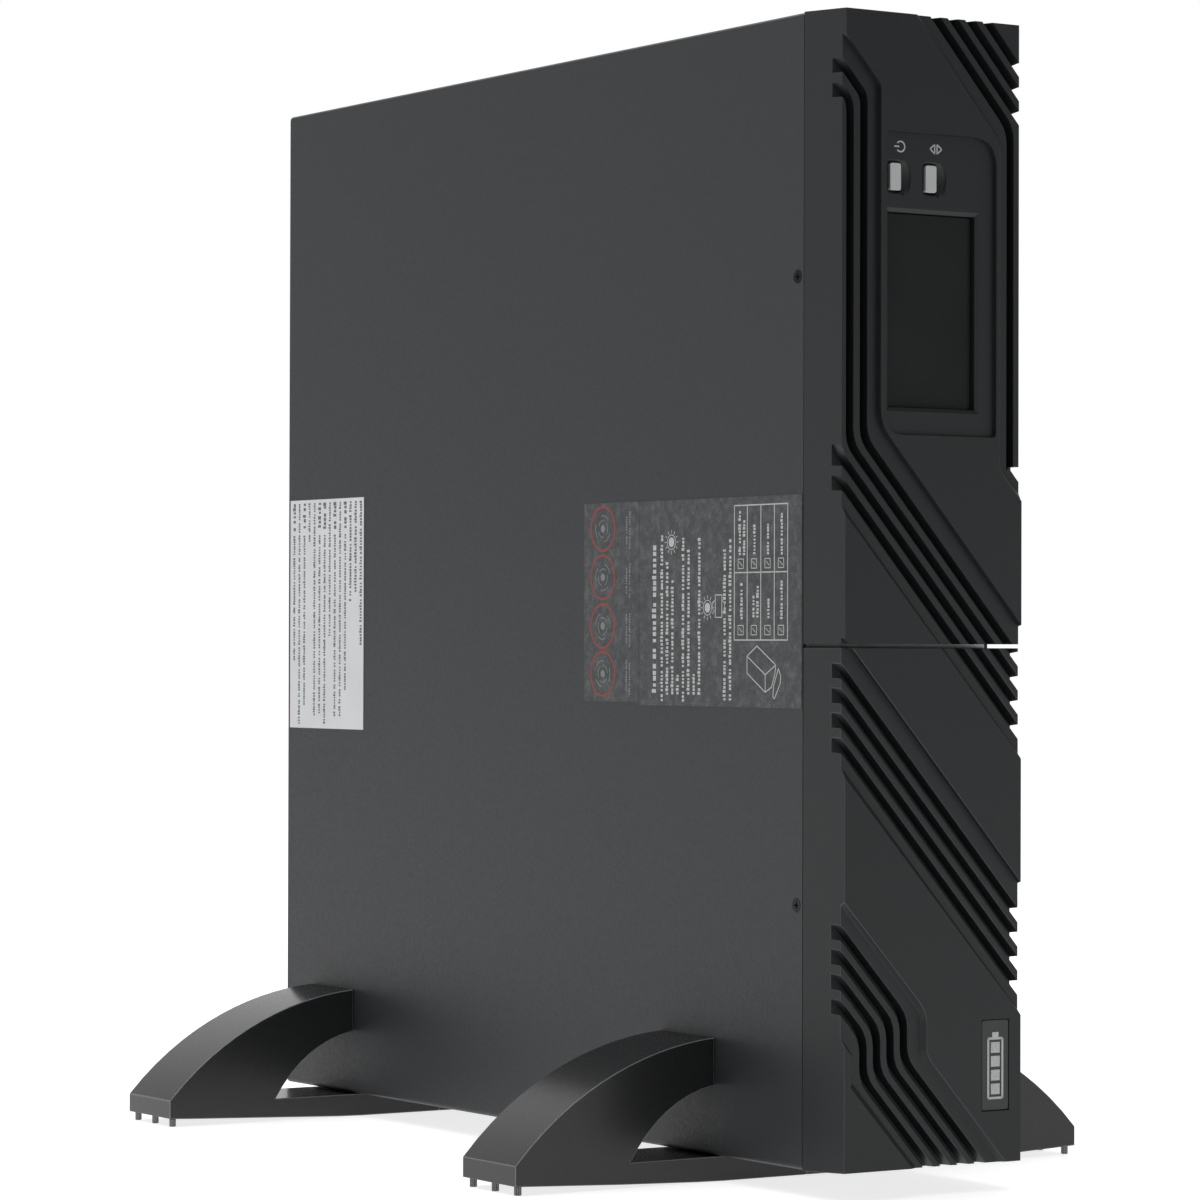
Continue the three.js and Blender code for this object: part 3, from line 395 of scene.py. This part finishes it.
PAINT = (0.0180, 0.0200, 0.0230)
BEZEL = (0.0068, 0.0083, 0.0096)
# Every painted and moulded finish carries a painted highlight on rounded edges turned to the light; the
# moulded ones also get painted shade in their hollows.
MATERIALS = {
    "case_paint": painted("case_paint", PAINT),
    "bezel_plastic": moulded("bezel_plastic", BEZEL, highlight_gain=6.0),
    "badge_metal": painted("badge_metal", (0.035, 0.037, 0.038), grain=2000, grain_depth=0.01),
    "inner_steel": plated("inner_steel", (0.50, 0.51, 0.52)),
    "black_screw": plated("black_screw", (0.030, 0.030, 0.031), rough=(0.25, 0.4)),
    "paper_label": paper("paper_label", (0.66, 0.665, 0.675)),
    "foil_label": mottled_film(),
    "smoked_window": smoked_glass(),
    "black_moulding": moulded("black_moulding", (0.013, 0.013, 0.014)),
    "button_plastic": moulded("button_plastic", (0.46, 0.475, 0.475), rough=(0.35, 0.45), highlight_gain=1.2),
    "circuit_board": circuit_board(),
    "copper_winding": wound(),
    "core_steel": laminated(),
    "aluminium_fin": plated("aluminium_fin", (0.62, 0.63, 0.64), direction=(1, 1, 20)),
    "capacitor_sleeve": moulded("capacitor_sleeve", (0.02, 0.05, 0.12), rough=(0.2, 0.3)),
    "battery_case": moulded("battery_case", (0.045, 0.05, 0.058), texture=1600),
    "cable_sheath": moulded("cable_sheath", (0.28, 0.02, 0.015), texture=900),
    # Strong painted highlight on the feet's rounded edges turned up and forward.
    "foot_plastic": moulded(
        "foot_plastic", (0.0105, 0.0112, 0.0118),
        rough=(0.24, 0.28), depth=0.001, highlight_gain=16.0, highlight_side=FOOT_HIGHLIGHT_SIDE,
    ),
    "white_ink": ink("white_ink", (0.50, 0.51, 0.51)),
    "faint_ink": ink("faint_ink", (0.20, 0.205, 0.21)),
    "icon_ink": ink("icon_ink", (0.42, 0.46, 0.47)),
    "dark_ink": ink("dark_ink", (0.13, 0.13, 0.135)),
    "red_ink": ink("red_ink", (0.23, 0.045, 0.042)),
}


# ---------------------------------------------------------------- mesh helpers
def build_mesh(name, verts, faces, materials, body=None):
    mesh = bpy.data.meshes.new(name)
    mesh.from_pydata([tuple(v) for v in verts], [], faces)
    mesh.update()
    for material in materials:
        mesh.materials.append(material)
    piece = bpy.data.objects.new(name, mesh)
    bpy.context.scene.collection.objects.link(piece)
    if body:
        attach(piece, body)
    return piece


def soften(mesh, angle_deg=32):
    """Smooth shading, broken at edges sharper than the angle."""
    for polygon in mesh.polygons:
        polygon.use_smooth = True
    mesh.set_sharp_from_angle(angle=math.radians(angle_deg))


def weigh_normals(piece):
    modifier = piece.modifiers.new("weighted", "WEIGHTED_NORMAL")
    modifier.keep_sharp = True
    modifier.weight = 60


MERGE_UNDER = 0.06  # millimetres: closer points become one
FLAT_UNDER = 0.6  # degrees: faces that bend less are merged
ROUND_OVER = 25  # degrees: edges that bend more are rounded


def fine_copy(node, radius_mm):
    """A copy of a CAD node with flat faces merged and sharp edges rounded; rim marks outward roundings."""
    mesh = NODES[node].data.copy()
    mesh.name = f"{node}_fine"
    bm = bmesh.new()
    bm.from_mesh(mesh)
    rim = bm.faces.layers.float.new("rim")
    bmesh.ops.remove_doubles(bm, verts=bm.verts, dist=MERGE_UNDER * MM)
    flat = math.radians(FLAT_UNDER)
    bmesh.ops.dissolve_limit(bm, angle_limit=flat, verts=bm.verts, edges=bm.edges, delimit={"NORMAL"})
    sharp = [e for e in bm.edges if e.is_manifold and e.calc_face_angle(0) > math.radians(ROUND_OVER)]
    rounding = bmesh.ops.bevel(
        bm, geom=sharp, offset=radius_mm * MM, offset_type="OFFSET", segments=2, profile=0.5,
        affect="EDGES", clamp_overlap=True, harden_normals=False, loop_slide=True,
    )
    for face in rounding["faces"]:
        bend = sum(edge.calc_face_angle_signed(0) * edge.calc_length() for edge in face.edges)
        face[rim] = 1.0 if bend > 0 else 0.0
    bm.to_mesh(mesh)
    bm.free()
    soften(mesh)
    mesh.materials.clear()
    slot = SLOT_OF[node]
    mesh.materials.append(MATERIALS[slot])
    piece = bpy.data.objects.new(f"{node}_fine", mesh)
    bpy.context.scene.collection.objects.link(piece)
    weigh_normals(piece)
    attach(piece, BODY_OF[node])
    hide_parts(node)


# Millimetres. Nodes that aren't listed keep their CAD shape, apart from the fan guard.
EDGE_RADIUS = {
    "top_cover": 0.3, "chassis_tray": 0.3, "upper_bezel": 0.45, "lower_bezel": 0.45,
    "display_window": 0.25, "badge_plate": 0.12, "power_button": 0.35, "select_button": 0.35,
    "front_foot_left": 0.4, "front_foot_right": 0.4, "rear_foot_left": 0.4, "rear_foot_right": 0.4,
    "rear_panel": 0.15, "expansion_slot_cover": 0.2, "ac_inlet": 0.25, "usb_port": 0.15,
    "network_port_1": 0.25, "network_port_2": 0.25, "breaker_body": 0.3, "breaker_button": 0.3,
    "fan_frame": 0.3, "ground_stud": 0.3, "battery_tray": 0.2, "tray_handle": 0.8,
    "battery_1": 1.0, "battery_2": 1.0, "battery_3": 1.0, "front_wall": 0.2,
    **{f"outlet_{i}": 0.12 for i in range(1, 7)},
    **{f"cover_screw_{i}": 0.08 for i in range(1, 5)},
}


def dress_nodes():
    """Gives every CAD node either a rounded copy or its material."""
    for node, radius in EDGE_RADIUS.items():
        fine_copy(node, radius)
    for node, piece in NODES.items():
        if node in EDGE_RADIUS:
            continue
        piece.data.materials.clear()
        piece.data.materials.append(MATERIALS[SLOT_OF[node]])


# ---------------------------------------------------------------- flat print and line work
class Print:
    """Thin raised print on a plane: shapes in millimetres along u and v, thickened along outward."""

    def __init__(self, origin, u, v, outward, thickness_mm=0.04):
        self.origin, self.u, self.v = Vector(origin), Vector(u), Vector(v)
        self.lift = Vector(outward) * thickness_mm * MM
        self.mirrored = self.u.cross(self.v).dot(Vector(outward)) < 0
        self.verts, self.faces = [], []

    def add(self, points, faces):
        """Adds a flat shape's points twice, on the plane and lifted off it, and its closed shell."""
        places = [self.origin + (self.u * a + self.v * b) * MM for a, b in points]
        first = len(self.verts)
        self.verts += places + [place + self.lift for place in places]
        shifted = [tuple(first + i for i in face) for face in faces]
        self.faces += [face[::-1] for face in shifted] if self.mirrored else shifted

    def outline(self, points):
        """A filled outline; its points may run either way round."""
        count = len(points)
        area = sum(p[0] * q[1] - q[0] * p[1] for p, q in zip(points, points[1:] + points[:1]))
        if area < 0:
            points = points[::-1]
        faces = [tuple(reversed(range(count))), tuple(range(count, 2 * count))]
        for i in range(count):
            j = (i + 1) % count
            faces.append((i, j, count + j, count + i))
        self.add(points, faces)

    def bar(self, u0, u1, v0, v1):
        self.outline([(u0, v0), (u1, v0), (u1, v1), (u0, v1)])

    def stroke(self, start, end, width):
        """A straight line of the given width."""
        a, b = Vector(start), Vector(end)
        side = (b - a).normalized().orthogonal() * width / 2
        self.outline([tuple(corner) for corner in (a - side, b - side, b + side, a + side)])

    def path(self, points, width, closed=False):
        """A stroke between each two neighbouring points."""
        ends = points[1:] + points[:1] if closed else points[1:]
        for start, end in zip(points, ends):
            self.stroke(start, end, width)

    def disc(self, centre, radius, steps=24):
        self.outline([(centre[0] + radius * math.cos(a), centre[1] + radius * math.sin(a))
                      for a in steps_round(steps)])

    def ring(self, centre, radius, width, steps=40):
        """A full ring as one closed band."""
        points = [(centre[0] + r * math.cos(a), centre[1] + r * math.sin(a))
                  for r in (radius - width / 2, radius + width / 2) for a in steps_round(steps)]
        faces = []
        for i in range(steps):
            j = (i + 1) % steps
            inner, outer, top_inner, top_outer = (k * steps for k in range(4))
            faces += [
                (inner + i, inner + j, outer + j, outer + i),
                (top_inner + i, top_outer + i, top_outer + j, top_inner + j),
                (outer + i, outer + j, top_outer + j, top_outer + i),
                (inner + i, top_inner + i, top_inner + j, inner + j),
            ]
        self.add(points, faces)

    def arc(self, centre, radius, width, start, sweep, steps=20):
        """Part of a ring, from start through sweep degrees."""
        angles = [math.radians(start + sweep * i / steps) for i in range(steps + 1)]
        near, far = ([(centre[0] + r * math.cos(a), centre[1] + r * math.sin(a)) for a in angles]
                     for r in (radius - width / 2, radius + width / 2))
        self.outline(near + far[::-1])

    def words(self, rng, line, start, end, height, pitch):
        """A row of small blocks, grouped like words, that stands for a row of print at u = line."""
        step = 1 if end > start else -1
        place = start
        while (end - place) * step > pitch:
            for _ in range(rng.randint(2, 9)):
                width = pitch * rng.uniform(0.5, 0.85)
                if (end - place) * step < width:
                    break
                tall = height * rng.choice((0.72, 0.78, 0.78, 1.0))
                self.bar(line - height / 2, line - height / 2 + tall, place, place + step * width)
                place += step * pitch * rng.uniform(0.9, 1.1)
            place += step * pitch * 0.7

    def piece(self, name, ink_name, body, slot):
        """Makes the print one piece that rides on a body."""
        made = build_mesh(name, self.verts, self.faces, [MATERIALS[ink_name]], body)


# ---------------------------------------------------------------- labels on the left side
# Places on the labels are (distance behind the datum, height above it) in millimetres.
def label_print(node):
    """A print plane on a label's outer face."""
    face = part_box(node)[0].x
    return Print((face, DATUM.y, DATUM.z), (0, 1, 0), (0, 0, 1), (-1, 0, 0))


# Rows of print: (distance, height where the row starts, height where it ends).
TIPS_ROWS = [
    (96.2, 176.1, 242.2), (92.4, 178.7, 232.2), (88.7, 178.9, 225.3), (85.0, 178.9, 187.6),
    (81.2, 176.1, 241.1), (77.4, 178.9, 236.7), (73.7, 178.9, 187.6), (69.9, 178.9, 240.6),
    (52.4, 176.9, 237.2), (48.6, 176.9, 240.2),
]
TABLE_LINES = [45.6, 36.9, 27.8, 18.8, 10.0]
TABLE_LOW, TABLE_MIDDLE, TABLE_HIGH = 200.3, 226.3, 252.2
TABLE_LINE, DRAWING_LINE, FINE_LINE = 0.45, 0.4, 0.3
HEADING_ROW = (101.6, 179.4, 238.9)
LAMP_PLACES = [(89.3, 238.9), (64.0, 212.9)]
TABLE_ROWS = [
    (42.1, 233, 251), (39.1, 233, 247), (32.2, 233.3, 244.7), (23.2, 233, 246.7), (14.1, 232.8, 251),
    (40.8, 208.3, 222.8), (32.8, 209, 218.3), (30.0, 209, 221.7), (22.8, 208.6, 217.4), (14.1, 208.3, 225),
]


def lamp_glyph(plane, centre):
    """A lit lamp: a disc, a ring and short rays."""
    plane.disc(centre, 1.9)
    plane.ring(centre, 2.9, FINE_LINE, steps=24)
    for a in steps_round(12):
        ray = Vector((math.cos(a), math.sin(a)))
        plane.stroke(tuple(Vector(centre) + ray * 3.5), tuple(Vector(centre) + ray * 4.8), FINE_LINE)


def plug_glyph(plane):
    """A small box with a curve at each long side, next to the lower lamp."""
    plane.path([(58.6, 209.1), (54.1, 209.1), (54.1, 217.8), (58.6, 217.8)], DRAWING_LINE, closed=True)
    plane.arc((54.6, 213.4), 2.4, FINE_LINE, 110, 140)
    plane.arc((58.1, 213.4), 2.4, FINE_LINE, -70, 140)


def box_drawing(plane):
    """A line drawing of a battery with its cover lifted off one end."""
    top = [(30.2, 198), (17.8, 190.8), (24.7, 187), (36.9, 194.1)]
    plane.path(top, DRAWING_LINE, closed=True)
    side = [(36.9, 194.1), (36.9, 187.6), (24.7, 180.3), (20.4, 182.3), (18.2, 187.6), (17.8, 190.8)]
    plane.path(side, DRAWING_LINE)
    plane.stroke((24.7, 187), (24.7, 180.3), DRAWING_LINE)
    lid = [(16, 189.4), (14.4, 186.7), (14.7, 183.9), (18.6, 177.8), (19.6, 178.6), (19.1, 182.8)]
    plane.path(lid, DRAWING_LINE, closed=True)


def dress_side_label():
    """Heading, rows of print, two lamps, a ruled table and a battery drawing."""
    rng = random.Random(4)
    plane = label_print("side_label")
    plane.words(rng, *HEADING_ROW, 2.9, pitch=2.4)
    for row in TIPS_ROWS:
        plane.words(rng, *row, 1.9, pitch=1.45)
    for y in TABLE_LINES:
        plane.stroke((y, TABLE_LOW), (y, TABLE_HIGH), TABLE_LINE)
    for z in (TABLE_LOW, TABLE_MIDDLE, TABLE_HIGH):
        plane.stroke((TABLE_LINES[0] + 0.2, z), (TABLE_LINES[-1] - 0.2, z), TABLE_LINE)
    for row in TABLE_ROWS:
        plane.words(rng, *row, 1.6, pitch=1.3)
    for left, right in zip(TABLE_LINES, TABLE_LINES[1:]):
        for low in (TABLE_LOW + 2, TABLE_MIDDLE + 1.6):
            middle = (left + right) / 2
            near, far, high = middle - 1.8, middle + 1.8, low + 3.6
            plane.path([(near, low), (far, low), (far, high), (near, high)], 0.32, closed=True)
            plane.stroke((middle - 1, low + 1), (middle + 1, low + 2.6), FINE_LINE)
    for place in LAMP_PLACES:
        lamp_glyph(plane, place)
    plug_glyph(plane)
    box_drawing(plane)
    plane.piece("side_label_print", "white_ink", "chassis", "foil_label")


RING_CENTRES = [(139.1, 245.2), (139.1, 225.6), (139.1, 205.9), (139.0, 186.7)]
RING_RADIUS = 8.8


def dress_side_strip():
    """Four red rings around neutral marks, each with two faint rows of print."""
    rng = random.Random(7)
    rings, glyphs = label_print("side_label_strip"), label_print("side_label_strip")
    for i, (y, z) in enumerate(RING_CENTRES):
        rings.ring((y, z), RING_RADIUS, 1.0)
        glyphs.disc((y, z), 1.5)
        for turn in (20, 140, 260):
            glyphs.arc((y, z), 3.4, 0.35, turn + 25 * i, 80, steps=10)
            glyphs.arc((y, z), 5.3, 0.35, turn + 60 + 25 * i, 60, steps=10)
        for line, reach in ((121.7, 6.6), (119.4, 8.4)):
            glyphs.words(rng, line, z - reach, z + reach * rng.uniform(0.6, 1), 1.1, pitch=1.0)
    rings.piece("side_strip_rings", "red_ink", "chassis", "foil_label")
    glyphs.piece("side_strip_print", "faint_ink", "chassis", "foil_label")


# Heights where the rating label's rows end; they all start at RATING_ROW_START.
RATING_ROWS_END = [
    197.8, 220.5, 216.4, 177.8, 165.3, 165.7, 201.6, 162.7, 166.2, 166.4, 243.3, 169.4, 162.1, 190.9,
]
RATING_FIRST_ROW, RATING_ROW_PITCH = 335.9, 4.64
RATING_ROW_START, HEADING_END = 261.8, 248.5
BOLD_ROWS, HEADED_ROWS = (0, 1, 2), (3, 5, 7, 8, 11, 13)


def dress_rating_label():
    """Rows of dark print, the first ones bold, some with a heading word."""
    rng = random.Random(11)
    plane = label_print("rating_label")
    for i, end in enumerate(RATING_ROWS_END):
        line = RATING_FIRST_ROW + i * RATING_ROW_PITCH
        start = RATING_ROW_START
        if i in HEADED_ROWS:
            plane.words(rng, line, start, HEADING_END, 2.6, pitch=1.9)
            start = HEADING_END - 1.2
        bold = i in BOLD_ROWS
        height, pitch = (2.1, 1.3) if bold else (1.75, 1.15)
        plane.words(rng, line, start, end, height, pitch)
    plane.piece("rating_label_print", "dark_ink", "chassis", "paper_label")


# ---------------------------------------------------------------- marks on the front
FRONT_PRINT_THICKNESS = 0.05
BADGE_THICKNESS = 0.12


def front_print(x, z, level):
    """A print plane on the front at the given y, with its origin at (x, z) millimetres from the datum."""
    origin = at(x, 0, z)
    return Print((origin.x, level, origin.z), (1, 0, 0), (0, 0, 1), (0, -1, 0), FRONT_PRINT_THICKNESS)


PANEL_BEHIND_FRONT = 1.7 * MM  # the control panel's floor lies this far behind the raised plateaus
POWER_ICON_PLACE, SELECT_ICON_PLACE = (-15.6, 386.7), (1.5, 386.7)
ICON_LINE = 0.55


def dress_control_panel():
    """The power symbol and a pair of arrows, above the two buttons."""
    floor = BEZEL_LOW.y + PANEL_BEHIND_FRONT
    power = front_print(*POWER_ICON_PLACE, floor)
    power.arc((0.4, 0), 1.95, ICON_LINE, -140, 280, steps=24)
    power.stroke((-2.5, 0), (-0.2, 0), ICON_LINE)
    power.piece("power_icon", "icon_ink", "chassis", "button_plastic")
    select = front_print(*SELECT_ICON_PLACE, floor)
    select.path([(-2.75, 0), (-0.55, 1.8), (-0.55, -1.8)], ICON_LINE, closed=True)
    select.path([(2.75, 0), (0.55, -1.8), (0.55, 1.8)], ICON_LINE, closed=True)
    select.piece("select_icon", "icon_ink", "chassis", "button_plastic")


def dress_badge():
    """A plain battery pictogram: an outline with its pole and a stack of cells."""
    low, high = (Vector(corner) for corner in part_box("badge_plate"))
    width, height = (high.x - low.x) / MM, (high.z - low.z) / MM
    plane = Print(low, (1, 0, 0), (0, 0, 1), (0, -1, 0), BADGE_THICKNESS)
    middle = width / 2
    left, right, bottom, top = middle - 3.4, middle + 3.4, 4.5, height - 7
    plane.path([(left, bottom), (right, bottom), (right, top), (left, top)], 0.9, closed=True)
    plane.bar(middle - 1.5, middle + 1.5, top + 0.45, top + 2.4)
    cells = 4
    pitch = (top - bottom - 1.6) / cells
    for i in range(cells):
        base = bottom + 1.4 + i * pitch
        plane.bar(left + 1.3, right - 1.3, base, base + pitch - 1.2)
    plane.piece("badge_pictogram", "white_ink", "battery_door", "badge_metal")


# ---------------------------------------------------------------- fan guard
# Millimetres, from the guard's middle or ahead of its rearmost point.
WIRE = 0.75  # radius
WIRE_SIDES = 10
RING_SIDES = 64
GUARD_RINGS = (9, 17, 25, 33)
GUARD_ARM = (8.4, 49)
EYE_RADIUS, EYE_REACH = 3.4, 50.56
EYE_FRONT, EYE_BACK = 2.75, 0.6
EYE_EDGE = 0.4


def tube(path, radius, sides, closed=False):
    """Points and faces of a round wire along a path across the y axis; an open path gets flat ends."""
    count = len(path)
    verts, faces = [], []
    for i, place in enumerate(path):
        before = path[i - 1] if closed or i else path[0]
        after = path[(i + 1) % count] if closed or i < count - 1 else path[-1]
        along = (after - before).normalized()
        side = along.cross(Vector((0, 1, 0))).normalized()
        up = side.cross(along)
        verts += [place + (side * math.cos(a) + up * math.sin(a)) * radius for a in steps_round(sides)]
    for i in range(count if closed else count - 1):
        for j in range(sides):
            k, m = (i + 1) % count, (j + 1) % sides
            faces.append((i * sides + j, i * sides + m, k * sides + m, k * sides + j))
    if not closed:
        faces.append(tuple(range(sides))[::-1])
        faces.append(tuple((count - 1) * sides + j for j in range(sides)))
    return verts, faces


def eyelet(centre, front, back, radius, steps=20):
    """A flat-headed fixing: a short round rod with a softened rear edge."""
    soft = EYE_EDGE * MM
    levels = [(front, radius), (back - soft, radius), (back, radius - soft)]
    verts = [Vector((centre.x + r * math.cos(a), y, centre.z + r * math.sin(a)))
             for y, r in levels for a in steps_round(steps)]
    faces = [tuple(range(steps)), tuple(2 * steps + i for i in range(steps))[::-1]]
    for level in range(2):
        for i in range(steps):
            j = (i + 1) % steps
            low, high = level * steps, (level + 1) * steps
            faces.append((low + i, high + i, high + j, low + j))
    return verts, faces


def dress_fan_guard():
    """Round wire in place of the guard's square bars."""
    low, high = (Vector(corner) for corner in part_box("fan_guard"))
    centre = (low + high) / 2
    level = high.y - WIRE * MM
    front, back = high.y - EYE_FRONT * MM, high.y - EYE_BACK * MM
    parts = []
    for radius in GUARD_RINGS:
        ring = [Vector((centre.x + radius * MM * math.cos(a), level, centre.z + radius * MM * math.sin(a)))
                for a in steps_round(RING_SIDES)]
        parts.append(tube(ring, WIRE * MM, WIRE_SIDES, closed=True))
    for a in steps_round(4, math.radians(45)):
        ray = Vector((math.cos(a), 0, math.sin(a)))
        hub = Vector((centre.x, level - WIRE * MM, centre.z))
        parts.append(tube([hub + ray * reach * MM for reach in GUARD_ARM], WIRE * MM, WIRE_SIDES))
        eye = Vector((centre.x, 0, centre.z)) + ray * EYE_REACH * MM
        parts.append(eyelet(eye, front, back, EYE_RADIUS * MM))
    verts, faces = [], []
    for more_verts, more_faces in parts:
        faces += [tuple(i + len(verts) for i in face) for face in more_faces]
        verts += more_verts
    slot = SLOT_OF["fan_guard"]
    guard = build_mesh("fan_guard_wire", verts, faces, [MATERIALS[slot]], BODY_OF["fan_guard"])
    shape = bmesh.new()
    shape.from_mesh(guard.data)
    bmesh.ops.recalc_face_normals(shape, faces=shape.faces)
    shape.to_mesh(guard.data)
    shape.free()
    soften(guard.data, 50)
    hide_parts("fan_guard")


make_camera()
make_studio()
dress_nodes()
dress_side_label()
dress_side_strip()
dress_rating_label()
dress_control_panel()
dress_badge()
dress_fan_guard()
